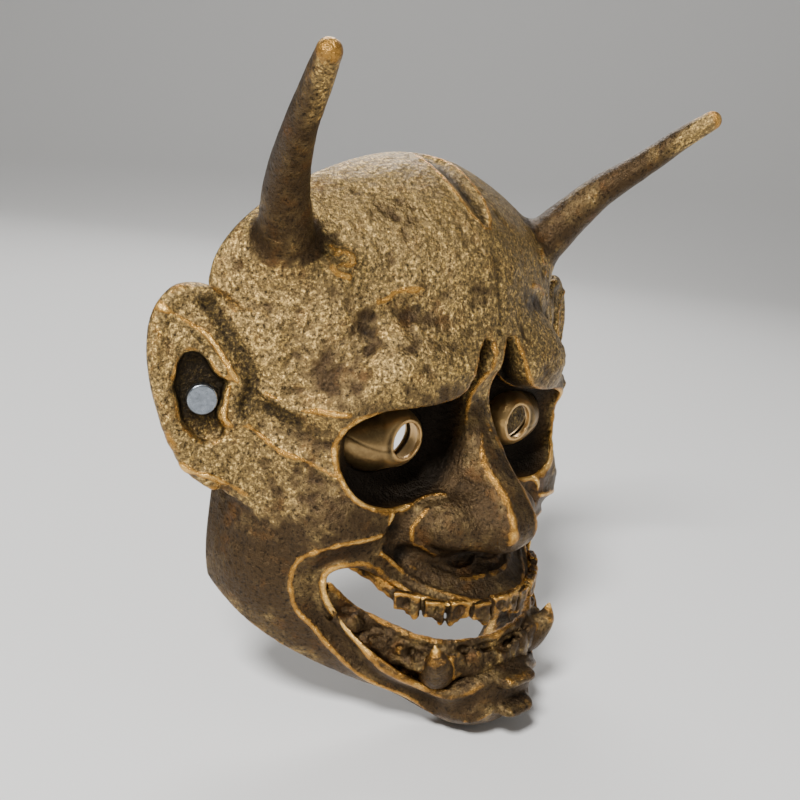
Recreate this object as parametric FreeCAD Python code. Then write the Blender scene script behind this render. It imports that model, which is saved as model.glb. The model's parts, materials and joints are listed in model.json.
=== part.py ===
"""Horned noh mask, a cast shell with separate horns, eyes, tooth rows, fangs and cord fittings.

Millimetres. The rear rim lies in the plane y = 0 and the face looks along -Y. +Z is up, and z = 0 is the
height of the pupils. +X is the wearer's left. Pieces on the wearer's right are the mirror of the left ones.
"""

import FreeCAD, Part
import math
import os

Vector = FreeCAD.Vector

# Head form: superellipse sections, widest and deepest at pupil height.
HALF_WIDTH = 80.0
CROWN_HEIGHT = 100.0
CHIN_REACH = 112.0
FOREHEAD_DEPTH = 58.0
JAW_DEPTH = 54.0
SECTION_POWER = 2.5
CROWN_POWER = 3.1
JAW_POWER = 3.4
WALL = 4.5
CROWN_LEVELS = (12, 28, 46, 62, 75, 85, 92, 96.5, 99.2)
JAW_LEVELS = (-108, -102, -92, -78, -60, -40, -20, 0)
SECTION_POINTS = 25
BALL_SHARE = 1.08
FAR = 200.0
HEAD_OVERRUN = 20.0
HOLLOW_OVERRUN = 30.0

# The underside is cut along a plane that rises from the chin to the jaw angle on the rear rim.
JAW_ANGLE_HEIGHT = -58.0
CHIN_EDGE = Vector(0, -70, -112)

# Muzzle: the lump that carries the mouth.
MUZZLE_CENTRE = Vector(0, -40, -79)
MUZZLE_RADII = Vector(53, 48, 34)

# Eyes: a flat floor at the back of each socket, and a domed brass eye with a round pupil.
PUPIL_OFFSET = 31.0
PUPIL_RADIUS = 6.6
SOCKET_FLOOR = -37.0
FLOOR_THICKNESS = 4.0
SOCKET_WALL = 4.0
EYE_CENTRE = Vector(36, -26, -1)
EYE_RADII = Vector(21, 20, 14)
EYE_WALL = 1.8
EYE_FLANGE = Vector(21.5, 1.5, 15.5)
SOCKET_OUTLINE = (
    (7, 33), (17, 17), (38, 13), (56, 9), (60, -3),
    (54, -17), (36, -22), (18, -20), (12, -6), (8, 12),
)

# Mouth: the front view of the opening, and of the two tooth rows behind it.
MOUTH_TOP = ((-46, -54), (-24, -59), (0, -62), (24, -59), (46, -54))
MOUTH_BOTTOM = ((46, -58), (26, -74), (0, -80), (-26, -74), (-46, -58))
MOUTH_BACK = -24.0
TOOTH_ROW_GAP = 0.25
TOOTH_ROW_THICKNESS = 4.0
TOOTH_PITCH = 8.5
UPPER_ROW_ENDS = (-66.0, -50.0)
LOWER_ROW_ENDS = (-92.0, -75.0)
ROW_HALF_WIDTH = 38.0
ROW_BACK = -30.0
ROW_RISE = 10.0
FANG_BASE = Vector(24, -64, -81)
FANG_TIP = Vector(32.5, -72, -67)
FANG_RADIUS = 5.0

# Horns: centre line and radii from the seat on the collar to the tip.
HORN_FOOT = Vector(69, -16, 67)
HORN_LINE = (
    (Vector(83, -31, 90), 9.0),
    (Vector(91.5, -43.5, 103), 6.8),
    (Vector(97, -54.5, 113.5), 5.0),
    (Vector(101.5, -64.5, 121.5), 3.8),
)
HORN_SEAT = 6.0
HORN_SEAT_RADIUS = 11.3
SEAT_CLEARANCE = 0.7
COLLAR_RADIUS = 15.0
BOSS_RADIUS = 9.5
BOSS_END = -7.0
TENON_RADIUS = 6.0
TENON_END = -3.0
TENON_CLEARANCE = 0.1
SCREW_RADIUS = 1.95
SCREW_LENGTH = 15.0
SCREW_HOLE_RADIUS = 2.25
PILOT_HOLE_RADIUS = 2.0
SCREW_HEAD_RADIUS = 3.6
SCREW_HEAD_HEIGHT = 2.4
WASHER_RADIUS = 5.0
WASHER_THICKNESS = 1.0
SPOT_FACE_RADIUS = 5.8
SPOT_FACE_DEPTH = 6.0

# Ears: a flared plate on each side, with a cap rivet through the floor of the ear's hollow.
EAR_ROOT = Vector(77, -20, 0)
EAR_FLARE = 30.0
EAR_FRONT = 2.0
EAR_BACK = -4.0
EAR_OUTLINE = ((-2, -20), (12, -19.5), (25, -10), (34, 9), (38, 29), (37, 39), (27, 49), (16, 46), (-2, 22))
HELIX_LINE = (
    (4, 25, 2.5), (17, 42.5, 3.2), (27, 45, 3.2), (34, 37, 3),
    (34, 23, 2.8), (30, 7, 2.5), (21, -9, 2.4),
)
HOLLOW_RADII = (10.5, 16.5)
HOLLOW_FLOOR = -2.5
RIVET_ALONG = 19.5
RIVET_HEIGHT = 12.0
RIVET_CAP_RADIUS = 5.2
RIVET_CAP_HEIGHT = 3.0
RIVET_CAP_EDGE = 0.7
RIVET_POST_RADIUS = 2.0
RIVET_HOLE_RADIUS = 2.1
RIVET_TAIL_RADIUS = 3.2
RIVET_TAIL_HEIGHT = 0.9

# Cord link: a plate that swivels on the rivet behind the ear. Its end stands off the ear and takes the cord.
LINK_THICKNESS = 1.4
LINK_GAP = 0.12
LINK_BORE_GAP = 0.08
LINK_EYE_RADIUS = 5.0
LINK_REACH = 10.5
LINK_STEP = 2.2
STEP_START = 6.4
END_WIDTH = 13.0
END_HEIGHT = 7.4
END_CORNER = 3.0
SLOT_WIDTH = 8.0
SLOT_HEIGHT = 3.4
BURR_RADIUS = 4.4
BURR_THICKNESS = 0.8


def mirrored(shape):
    """The same piece on the wearer's right."""
    return shape.mirror(Vector(0, 0, 0), Vector(1, 0, 0))


def rounded(value, power):
    """The height of a unit superellipse at this share of its half width."""
    return (1 - min(abs(value), 1.0) ** power) ** (1 / power)


def section_wire(level, inset, back):
    """One horizontal section of the head: a boxy arch with straight sides that run on to the back."""
    above = level >= 0
    share = level / (CROWN_HEIGHT if above else CHIN_REACH)
    power = CROWN_POWER if above else JAW_POWER
    half_width = HALF_WIDTH * rounded(share, power) - inset
    depth = (FOREHEAD_DEPTH if above else JAW_DEPTH) * rounded(share, power) - inset
    if level == 0:
        depth = (FOREHEAD_DEPTH + JAW_DEPTH) / 2 - inset
    points = []
    for i in range(SECTION_POINTS):
        turn = math.pi * i / (SECTION_POINTS - 1)
        across = math.copysign(abs(math.cos(turn)) ** (2 / SECTION_POWER), math.cos(turn))
        points.append(Vector(half_width * across, -depth * math.sin(turn) ** (2 / SECTION_POWER), level))
    arch = Part.BSplineCurve()
    arch.interpolate(points)
    left, right = points[0], points[-1]
    left_back, right_back = Vector(left.x, back, level), Vector(right.x, back, level)
    outline = [arch.toShape()]
    for start, end in ((right, right_back), (right_back, left_back), (left_back, left)):
        outline.append(Part.makeLine(start, end))
    return Part.Wire(outline)


def head_block(inset, back):
    """The head form as a solid, every section drawn in by the inset and the crown lowered by it."""
    levels = [*JAW_LEVELS, *CROWN_LEVELS]
    wires = [section_wire(level, inset, back) for level in levels]
    block = Part.makeLoft(wires, True, False)
    if inset:
        squeeze = FreeCAD.Matrix()
        squeeze.scale(1, 1, 1 - inset / CROWN_HEIGHT)
        block = block.transformGeometry(squeeze)
    return block


def ellipsoid(centre, radii):
    stretch = FreeCAD.Matrix()
    stretch.scale(radii.x, radii.y, radii.z)
    ball = Part.makeSphere(1.0).transformGeometry(stretch)
    ball.translate(centre)
    return ball


def muzzle(inset):
    return ellipsoid(MUZZLE_CENTRE, MUZZLE_RADII - Vector(inset, inset, inset))


def cavity(inset):
    """The hollow inside the mask, open at the back."""
    return head_block(inset, HOLLOW_OVERRUN).fuse(muzzle(inset))


def bar_loft(stations):
    """A round bar through stations of (centre, radius), flat at both ends."""
    wires = []
    for i, (centre, radius) in enumerate(stations):
        before = stations[max(i - 1, 0)][0]
        after = stations[min(i + 1, len(stations) - 1)][0]
        normal = (after - before).normalize()
        across = normal.cross(Vector(0, 0.3, 1)).normalize()
        circle = Part.makeCircle(radius)
        frame = FreeCAD.Rotation(across, normal.cross(across), normal, "ZXY")
        circle.Placement = FreeCAD.Placement(centre, frame)
        wires.append(Part.Wire([circle]))
    bar = Part.makeLoft(wires, True, False)
    if bar.Volume < 0:
        bar.reverse()
    return bar


def limb(stations):
    """The same bar with a slightly larger ball at each end."""
    ends = [Part.makeSphere(radius * BALL_SHARE, centre) for centre, radius in (stations[0], stations[-1])]
    return bar_loft(stations).fuse(ends)


def front_prism(points, front, back):
    """A smooth outline drawn in the front view, extruded from one depth to another."""
    curve = Part.BSplineCurve()
    curve.interpolate([Vector(x, front, z) for x, z in points], PeriodicFlag=True)
    face = Part.Face(Part.Wire([curve.toShape()]))
    return face.extrude(Vector(0, back - front, 0))


def rod(start, direction, radius, length):
    return Part.makeCylinder(radius, length, start, direction)


# Frames along the left horn and the left ear rivet.
HORN_AXIS = (HORN_LINE[0][0] - HORN_FOOT).normalize()
FLARE = math.radians(EAR_FLARE)
EAR_ALONG = Vector(math.cos(FLARE), math.sin(FLARE), 0)
EAR_NORMAL = Vector(math.sin(FLARE), -math.cos(FLARE), 0)


def on_horn(distance):
    return HORN_FOOT + HORN_AXIS * distance


def on_ear(along, height, out):
    """A point from the ear plate's own coordinates: along the plate, up, and out of its front face."""
    return EAR_ROOT + EAR_ALONG * along + Vector(0, 0, height) + EAR_NORMAL * out


def on_rivet(out):
    return on_ear(RIVET_ALONG, RIVET_HEIGHT, out)


def ear_prism(points, low, high):
    curve = Part.BSplineCurve()
    curve.interpolate([on_ear(along, height, low) for along, height in points], PeriodicFlag=True)
    face = Part.Face(Part.Wire([curve.toShape()]))
    return face.extrude(EAR_NORMAL * (high - low))


def helix():
    """The raised rim of the ear."""
    return limb([(on_ear(along, height, EAR_FRONT - 1), radius) for along, height, radius in HELIX_LINE])


def ear():
    """The flared plate with its hollow. The hollow's floor takes the rivet."""
    plate = ear_prism(EAR_OUTLINE, EAR_BACK, EAR_FRONT).fuse(helix())
    half_along, half_height = HOLLOW_RADII
    outline = []
    for i in range(12):
        turn = 2 * math.pi * i / 12
        along = RIVET_ALONG + half_along * math.cos(turn)
        outline.append((along, RIVET_HEIGHT + half_height * math.sin(turn)))
    return plate.cut(ear_prism(outline, HOLLOW_FLOOR, EAR_FRONT + 1))


def nose():
    """A low root between the sockets, a steep bridge, a heavy hooked tip and the two wings."""
    bridge = limb([
        (Vector(0, -42, 8), 6), (Vector(0, -50, -6), 8), (Vector(0, -60, -17), 10), (Vector(0, -66, -29), 13),
    ])
    wings = [Part.makeSphere(9.5, Vector(side * 14, -56, -32)) for side in (-1, 1)]
    return bridge.fuse(wings)


def nose_root_hollow():
    """The hollow over the nose root, which joins the two sockets."""
    return ellipsoid(Vector(0, -66, 10), Vector(17, 17, 15))


def brow():
    """The ridge over one socket, from beside the nose root to the spike at the temple."""
    return limb([
        (Vector(9, -56, 38), 5), (Vector(19, -55, 25), 5), (Vector(36, -51, 18), 5),
        (Vector(52, -45.5, 14), 5), (Vector(62, -40, 9), 4),
    ])


def cheek():
    """The ridge under one socket."""
    return limb([
        (Vector(62, -38.5, -3), 4), (Vector(56, -41.5, -18), 5),
        (Vector(40, -47, -27), 6), (Vector(24, -50.5, -28), 5),
    ])


def upper_lip():
    return limb([
        (Vector(47, -34, -55), 4.5), (Vector(36, -54, -55), 4.5),
        (Vector(18, -70, -57), 4.5), (Vector(0, -76, -58), 4.5),
    ])


def lower_lip():
    return limb([
        (Vector(47, -34, -60), 4.5), (Vector(38, -54, -72), 5),
        (Vector(20, -76, -84), 5), (Vector(0, -84, -88), 6),
    ])


def horn_collar():
    """The swelling of the forehead round the horn's foot."""
    return Part.makeCone(COLLAR_RADIUS, HORN_SEAT_RADIUS + 0.4, HORN_SEAT + 8, on_horn(-8), HORN_AXIS)


def horn_boss():
    """The inside boss that takes the tenon and its screw."""
    return rod(on_horn(BOSS_END), HORN_AXIS, BOSS_RADIUS, HORN_SEAT - BOSS_END)


def horn_socket():
    """What the shell loses: room for the horn above its seat, and the bore and spot face of its fixing."""
    room = rod(on_horn(HORN_SEAT), HORN_AXIS, HORN_SEAT_RADIUS + SEAT_CLEARANCE, 14)
    bore = rod(on_horn(TENON_END), HORN_AXIS, TENON_RADIUS + TENON_CLEARANCE, HORN_SEAT - TENON_END + 1)
    hole = rod(on_horn(BOSS_END - 1), HORN_AXIS, SCREW_HOLE_RADIUS, 6)
    spot_face = rod(on_horn(BOSS_END - SPOT_FACE_DEPTH), HORN_AXIS, SPOT_FACE_RADIUS, SPOT_FACE_DEPTH)
    return room.fuse([bore, hole, spot_face])


def rear_space():
    return Part.makeBox(2 * FAR, FAR, 2 * FAR, Vector(-FAR, 0, -FAR))


def under_jaw():
    """Everything below the plane from the jaw angle to the chin's edge."""
    rear = Vector(0, 100, JAW_ANGLE_HEIGHT + 100 * (JAW_ANGLE_HEIGHT - CHIN_EDGE.z) / -CHIN_EDGE.y)
    front = CHIN_EDGE * 2 - Vector(0, 0, JAW_ANGLE_HEIGHT)
    outline = [rear, front, Vector(0, front.y, -FAR), Vector(0, rear.y, -FAR), rear]
    face = Part.Face(Part.makePolygon([point - Vector(FAR, 0, 0) for point in outline]))
    return face.extrude(Vector(2 * FAR, 0, 0))


def socket_block():
    """Solid metal round and behind one socket, before the socket is cut into it."""
    points = [Vector(x, z, 0) for x, z in SOCKET_OUTLINE]
    middle = sum(points, Vector(0, 0, 0)) / len(points)
    grown = []
    for point in points:
        outer = point + (point - middle).normalize() * SOCKET_WALL
        grown.append((outer.x, outer.y))
    return front_prism(grown, -70, SOCKET_FLOOR + FLOOR_THICKNESS)


def eye_form(growth):
    return ellipsoid(EYE_CENTRE, EYE_RADII + Vector(growth, growth, growth))


def pupil_bore():
    return rod(Vector(PUPIL_OFFSET, -60, 0), Vector(0, 1, 0), PUPIL_RADIUS, 40)


def crown_groove():
    """The lens-shaped parting in the middle of the crown."""
    return limb([
        (Vector(0, -14, 106), 4), (Vector(0, -27, 105.5), 9), (Vector(0, -42, 99), 9.5),
        (Vector(0, -54, 88), 7), (Vector(0, -61, 74), 3),
    ])


def nostril():
    return rod(Vector(9, -76, -50), Vector(0, 0.82, 0.57), 3.4, 40)


def both(maker):
    left = maker()
    return [left, mirrored(left)]


def mask_shell():
    """The cast shell: face, ears, collars and bosses in one piece."""
    lumps = [muzzle(0), nose()]
    for maker in (brow, cheek, upper_lip, lower_lip, horn_collar, ear):
        lumps += both(maker)
    hollow = cavity(WALL)
    for block in both(socket_block) + both(horn_boss):
        hollow = hollow.cut(block)
    form = head_block(0, HEAD_OVERRUN).cut(nose_root_hollow()).fuse(lumps).cut(hollow)
    mouth = front_prism([*MOUTH_TOP, *MOUTH_BOTTOM], -110, MOUTH_BACK)
    cuts = [mouth, rear_space(), under_jaw(), crown_groove()]
    cuts += both(lambda: front_prism(SOCKET_OUTLINE, -90, SOCKET_FLOOR))
    cuts += both(lambda: eye_form(0.15))
    cuts += both(horn_socket)
    cuts += both(nostril)
    cuts += both(lambda: rod(on_rivet(EAR_BACK - 1), EAR_NORMAL, RIVET_HOLE_RADIUS, 6))
    for cutter in cuts:
        form = form.cut(cutter)
    return form


def horn():
    """A round, slightly bent cone with a blunt tip and a tenon below its seat."""
    root = [(on_horn(HORN_SEAT), HORN_SEAT_RADIUS), (on_horn(HORN_SEAT + 6), HORN_SEAT_RADIUS - 0.7)]
    tip, tip_radius = HORN_LINE[-1]
    body = bar_loft(root + list(HORN_LINE)).fuse(Part.makeSphere(tip_radius * BALL_SHARE, tip))
    tenon = rod(on_horn(TENON_END), HORN_AXIS, TENON_RADIUS, HORN_SEAT - TENON_END)
    pilot = rod(on_horn(TENON_END - 1), HORN_AXIS, PILOT_HOLE_RADIUS, SCREW_LENGTH)
    return body.fuse(tenon).cut(pilot)


def horn_washer():
    start = on_horn(BOSS_END - WASHER_THICKNESS)
    disc = rod(start, HORN_AXIS, WASHER_RADIUS, WASHER_THICKNESS)
    return disc.cut(rod(start, HORN_AXIS, SCREW_HOLE_RADIUS, WASHER_THICKNESS))


def horn_screw():
    """Pan head screw, driven from inside the mask into the tenon."""
    under_head = BOSS_END - WASHER_THICKNESS
    shank = rod(on_horn(under_head), HORN_AXIS, SCREW_RADIUS, SCREW_LENGTH)
    head = rod(on_horn(under_head - SCREW_HEAD_HEIGHT), HORN_AXIS, SCREW_HEAD_RADIUS, SCREW_HEAD_HEIGHT)
    cross = HORN_AXIS.cross(Vector(0, 0, 1)).normalize()
    recess = Part.makeBox(4.4, 0.9, 1.2, Vector(-2.2, -0.45, -0.1))
    recess = recess.fuse(Part.makeBox(0.9, 4.4, 1.2, Vector(-0.45, -2.2, -0.1)))
    turn = FreeCAD.Rotation(cross, HORN_AXIS.cross(cross), HORN_AXIS, "ZXY")
    recess.Placement = FreeCAD.Placement(on_horn(under_head - SCREW_HEAD_HEIGHT), turn)
    return head.fuse(shank).cut(recess)


def eye():
    """A thin domed eye with its pupil, and a flange that lies on the back of the socket floor."""
    flange_front = SOCKET_FLOOR + FLOOR_THICKNESS
    dome = eye_form(0).cut(eye_form(-EYE_WALL))
    behind = Part.makeBox(100, 100, 100, Vector(-10, flange_front, -50))
    dome = dome.cut(behind)
    flange = Part.makeCylinder(1, EYE_FLANGE.y, Vector(0, 0, 0), Vector(0, 1, 0))
    stretch = FreeCAD.Matrix()
    stretch.scale(EYE_FLANGE.x, 1, EYE_FLANGE.z)
    flange = flange.transformGeometry(stretch)
    flange.translate(Vector(EYE_CENTRE.x, flange_front, EYE_CENTRE.z))
    flange = flange.cut(eye_form(-EYE_WALL))
    return dome.fuse(flange).cut(pupil_bore())


def tooth_row(ends, biting_edge_up):
    """A curved row behind the lips, scalloped along its biting edge."""
    low, high = ends
    band = cavity(WALL + TOOTH_ROW_GAP).cut(cavity(WALL + TOOTH_ROW_GAP + TOOTH_ROW_THICKNESS))
    outline = []
    for x in (-ROW_HALF_WIDTH, -ROW_HALF_WIDTH / 2, 0, ROW_HALF_WIDTH / 2, ROW_HALF_WIDTH):
        outline.append(Vector(x, -110, low + ROW_RISE * (x / ROW_HALF_WIDTH) ** 2))
    for x in (ROW_HALF_WIDTH, ROW_HALF_WIDTH / 2, 0, -ROW_HALF_WIDTH / 2, -ROW_HALF_WIDTH):
        outline.append(Vector(x, -110, high + ROW_RISE * (x / ROW_HALF_WIDTH) ** 2))
    face = Part.Face(Part.makePolygon([*outline, outline[0]]))
    row = band.common(face.extrude(Vector(0, 110 + ROW_BACK, 0)))
    bite = high if biting_edge_up else low
    steps = int(ROW_HALF_WIDTH / TOOTH_PITCH)
    for i in range(-steps, steps + 1):
        x = i * TOOTH_PITCH
        notch = Vector(x, -110, bite + ROW_RISE * (x / ROW_HALF_WIDTH) ** 2)
        row = row.cut(rod(notch, Vector(0, 1, 0), 1.6, 90))
    return row


def fang():
    axis = FANG_TIP - FANG_BASE
    return Part.makeCone(FANG_RADIUS, 0.8, axis.Length, FANG_BASE, axis)


def rivet():
    """Cap, post and peened tail, in one piece."""
    cap = rod(on_rivet(HOLLOW_FLOOR), EAR_NORMAL, RIVET_CAP_RADIUS, RIVET_CAP_HEIGHT)
    rims = [edge for edge in cap.Edges if edge.Closed and (edge.CenterOfMass - on_rivet(0)) * EAR_NORMAL > 0]
    cap = cap.makeFillet(RIVET_CAP_EDGE, rims)
    tail_start = EAR_BACK - 2 * LINK_GAP - LINK_THICKNESS - BURR_THICKNESS
    post = rod(on_rivet(tail_start), EAR_NORMAL, RIVET_POST_RADIUS, HOLLOW_FLOOR - tail_start)
    tail = Part.makeCone(RIVET_TAIL_RADIUS - 0.8, RIVET_TAIL_RADIUS, RIVET_TAIL_HEIGHT,
                         on_rivet(tail_start - RIVET_TAIL_HEIGHT), EAR_NORMAL)
    return cap.fuse([post, tail])


def rivet_burr():
    start = on_rivet(EAR_BACK - 2 * LINK_GAP - LINK_THICKNESS - BURR_THICKNESS)
    ring = rod(start, EAR_NORMAL, BURR_RADIUS, BURR_THICKNESS)
    return ring.cut(rod(start, EAR_NORMAL, RIVET_POST_RADIUS, BURR_THICKNESS))


def link_plate(width, height, corner, drop, out):
    """A round-cornered plate in the link's own frame: x along the ear, y up, z out of the ear's front."""
    box = Part.makeBox(width, height, LINK_THICKNESS, Vector(-width / 2, -height / 2 - drop, out))
    edges = [edge for edge in box.Edges if abs(edge.tangentAt(edge.FirstParameter).z) > 0.9]
    return box.makeFillet(corner, edges)


def cord_link():
    """A plate hung on the rivet post, stepped back from the ear below the post, with a slot for the cord."""
    eye_ring = Part.makeCylinder(LINK_EYE_RADIUS, LINK_THICKNESS)
    half = LINK_EYE_RADIUS - 1
    riser_depth = LINK_STEP + LINK_THICKNESS
    riser = Part.makeBox(2 * half, LINK_THICKNESS, riser_depth, Vector(-half, -STEP_START, -LINK_STEP))
    end = link_plate(END_WIDTH, END_HEIGHT, END_CORNER, LINK_REACH, -LINK_STEP)
    neck_length = LINK_REACH - STEP_START
    neck = Part.makeBox(2 * half, neck_length, LINK_THICKNESS, Vector(-half, -LINK_REACH, -LINK_STEP))
    upper_neck = Part.makeBox(2 * half, STEP_START, LINK_THICKNESS, Vector(-half, -STEP_START, 0))
    link = eye_ring.fuse([upper_neck, riser, neck, end])
    slot = link_plate(SLOT_WIDTH, SLOT_HEIGHT, SLOT_HEIGHT / 2 - 0.1, LINK_REACH, -LINK_STEP)
    link = link.cut(slot)
    link = link.cut(Part.makeCylinder(RIVET_POST_RADIUS + LINK_BORE_GAP, LINK_THICKNESS))
    upright = FreeCAD.Rotation(EAR_ALONG, Vector(0, 0, 1), EAR_NORMAL, "ZXY")
    link.Placement = FreeCAD.Placement(on_rivet(EAR_BACK - LINK_GAP - LINK_THICKNESS), upright)
    return link


def save(name, shape):
    shape = shape.removeSplitter()
    if shape.ShapeType == "Compound" and len(shape.Solids) == 1:
        shape = shape.Solids[0]
    shape.exportStep(f"parts/{name}.step")
    box = shape.BoundBox
    print(f"{name:22s} valid {shape.isValid()} solids {len(shape.Solids)} volume {shape.Volume:10.1f}",
          f"x {box.XMin:.1f}..{box.XMax:.1f} y {box.YMin:.1f}..{box.YMax:.1f}",
          f"z {box.ZMin:.1f}..{box.ZMax:.1f}")


def save_pair(name, shape):
    save(f"{name}_left", shape)
    save(f"{name}_right", mirrored(shape))


def main():
    os.makedirs("parts", exist_ok=True)
    save("mask_shell", mask_shell())
    upper_row = tooth_row(UPPER_ROW_ENDS, False)
    lower_row = tooth_row(LOWER_ROW_ENDS, True)
    fangs = fang()
    save("upper_teeth", upper_row)
    save("lower_teeth", lower_row.cut(fangs).cut(mirrored(fangs)))
    save_pair("fang", fangs)
    save_pair("eye", eye())
    save_pair("horn", horn())
    save_pair("horn_washer", horn_washer())
    save_pair("horn_screw", horn_screw())
    save_pair("ear_rivet", rivet())
    save_pair("rivet_burr", rivet_burr())
    save_pair("cord_link", cord_link())


main()
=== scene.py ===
"""Looks of the horned noh mask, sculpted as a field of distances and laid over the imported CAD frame.

The clay model works in millimetres in the frame's own axes: the face looks along -Y, +Z is up, the rear rim
is at y = 0 and the pupils are at z = 0. Only the half with x >= 0 is modelled, and meshing mirrors it.
"""

import json
import math

import bpy
import numpy as np
from mathutils import Matrix, Vector


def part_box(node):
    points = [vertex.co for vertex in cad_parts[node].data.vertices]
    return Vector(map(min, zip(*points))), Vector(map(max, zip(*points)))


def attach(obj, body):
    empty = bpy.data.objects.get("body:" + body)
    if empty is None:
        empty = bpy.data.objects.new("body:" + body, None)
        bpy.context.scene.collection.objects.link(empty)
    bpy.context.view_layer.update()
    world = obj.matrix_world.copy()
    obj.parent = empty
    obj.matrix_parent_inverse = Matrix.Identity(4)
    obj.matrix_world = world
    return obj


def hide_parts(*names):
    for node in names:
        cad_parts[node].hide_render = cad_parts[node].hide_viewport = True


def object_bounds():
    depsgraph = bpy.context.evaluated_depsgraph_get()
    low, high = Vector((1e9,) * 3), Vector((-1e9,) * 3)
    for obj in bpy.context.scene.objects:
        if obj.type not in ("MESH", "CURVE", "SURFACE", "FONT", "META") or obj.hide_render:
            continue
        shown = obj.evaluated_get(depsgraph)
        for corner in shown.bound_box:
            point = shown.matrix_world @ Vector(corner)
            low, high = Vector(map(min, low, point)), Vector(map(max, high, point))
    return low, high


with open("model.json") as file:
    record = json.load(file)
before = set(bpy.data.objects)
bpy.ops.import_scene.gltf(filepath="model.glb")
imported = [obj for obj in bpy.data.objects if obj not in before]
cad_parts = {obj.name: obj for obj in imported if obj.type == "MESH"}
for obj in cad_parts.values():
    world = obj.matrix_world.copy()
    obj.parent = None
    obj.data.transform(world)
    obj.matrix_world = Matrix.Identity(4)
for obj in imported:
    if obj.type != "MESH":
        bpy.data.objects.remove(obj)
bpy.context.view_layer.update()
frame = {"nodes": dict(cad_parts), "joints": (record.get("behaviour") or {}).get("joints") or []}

MM = 0.001
BODY = "mask"

# ---- sizes, in mm; the rivet's and the eye's taken from the frame, the rest given


def node_box(name):
    """Lowest and highest corner of a CAD node, in mm."""
    low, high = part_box(name)
    return np.array(low) / MM, np.array(high) / MM


def joint_point(name):
    joint = next(j for j in frame["joints"] if j["name"] == name)
    return np.array(joint["pos_m"]) / MM, np.array(joint["axis"], float)


RIVET_POINT, RIVET_AXIS = joint_point("cord_link_left_swivel")
EYE_CENTRE = sum(node_box("eye_left")) / 2

HALF_WIDTH = 80.0
CROWN = 98.5
CHIN = 114.0
DEPTH = 58.0
WALL = 4.5
LEAST_WALL = 3.4
EAR_CURL = 0.0055
CURL_START = 18.0
RIM_Y = 0.0
JAW_HEIGHT = -58.0
JAW_SLOPE = 0.77
SOCKET_FLOOR = -37.0
SOCKET_BACK = -33.0
HORN_FOOT = np.array([69.0, -16.0, 67.0])
HORN_SEAT = 6.0
BOSS_RADIUS = 9.5
BOSS_END = -7.0
SCREW_ROOM = 2.3
SCREW_REACH = 9.0
PUPIL = np.array([31.0, 0.0])
PUPIL_RADIUS = 6.6
PUPIL_FACE = -44.2
EYE_CENTRE[1] = -26.0
EYE_RADII = (20.2, 19.2, 13.2)
EYE_HOLE_RADII = (20.9, 20.0, 13.9)
FLANGE_RADII = (21.5, 999.0, 15.5)
EYE_CORE = 1.6
CLEAR_OF_ALL = 60.0
NOISE_TABLE = 64
WEAR_RADII = (1.3, 4.5)
BROW_HEIGHT = 18.0
TEMPLE_HEIGHT = 56.0
JOWL_HEIGHT = -50.0

# The ear's own frame: along the plate away from the head, up, and out of its front face.
EAR_NORMAL = RIVET_AXIS / np.linalg.norm(RIVET_AXIS)
EAR_ALONG = np.array([-EAR_NORMAL[1], EAR_NORMAL[0], 0.0])
EAR_ROOT = RIVET_POINT - 19.5 * EAR_ALONG + 4.82 * EAR_NORMAL - np.array([0, 0, 12.0])


def on_ear(along, up, out=0.0):
    return EAR_ROOT + along * EAR_ALONG + out * EAR_NORMAL + np.array([0, 0, up])


# ---- clay: a grid of signed distances


def soft_min(a, b, radius):
    if radius <= 0:
        return np.minimum(a, b)
    share = np.maximum(radius - np.abs(a - b), 0) / radius
    return np.minimum(a, b) - share * share * radius * 0.25


def soft_max(a, b, radius):
    return -soft_min(-a, -b, radius)


def smooth_line(points, steps=6, closed=False):
    """A Catmull-Rom curve through the points."""
    knots = np.array(points, float)
    if len(knots) < 3:
        return knots
    if closed:
        knots = np.vstack([knots[-1], knots, knots[0], knots[1]])
    else:
        knots = np.vstack([2 * knots[0] - knots[1], knots, 2 * knots[-1] - knots[-2]])
    line = []
    for a, b, c, d in zip(knots, knots[1:], knots[2:], knots[3:]):
        for t in np.arange(steps) / steps:
            bend = (2 * a - 5 * b + 4 * c - d) * t**2 + (3 * b - a - 3 * c + d) * t**3
            line.append(0.5 * (2 * b + (c - a) * t + bend))
    if not closed:
        line.append(knots[-2])
    return np.array(line)


def outline_distance(u, v, outline):
    """Signed distance to a closed outline in a plane, negative inside."""
    best = np.full(np.broadcast(u, v).shape, 1e9)
    inside = np.zeros(best.shape, bool)
    for a, b in zip(outline, np.roll(outline, -1, axis=0)):
        d = b - a
        t = np.clip(((u - a[0]) * d[0] + (v - a[1]) * d[1]) / max(d @ d, 1e-9), 0, 1)
        best = np.minimum(best, (u - a[0] - t * d[0])**2 + (v - a[1] - t * d[1])**2)
        crossing = ((a[1] > v) != (b[1] > v)) & (u < d[0] * (v - a[1]) / (d[1] + 1e-12) + a[0])
        inside ^= crossing
    return np.where(inside, -np.sqrt(best), np.sqrt(best))


def ball(centre, radii, power=2.0):
    """An ellipsoid, or a boxier form where the power is above 2."""
    centre, radii = np.array(centre, float), np.array(radii, float)

    def distance(x, y, z):
        across = [np.abs(w - c) / r for w, c, r in zip((x, y, z), centre, radii)]
        size = sum(w**power for w in across)**(1 / power)
        if power != 2.0:
            return (size - 1) * radii.min()
        slope = np.sqrt(sum((w / r)**2 for w, r in zip(across, radii))) + 1e-6
        return size * (size - 1) / slope

    return distance, centre - radii, centre + radii


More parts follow.
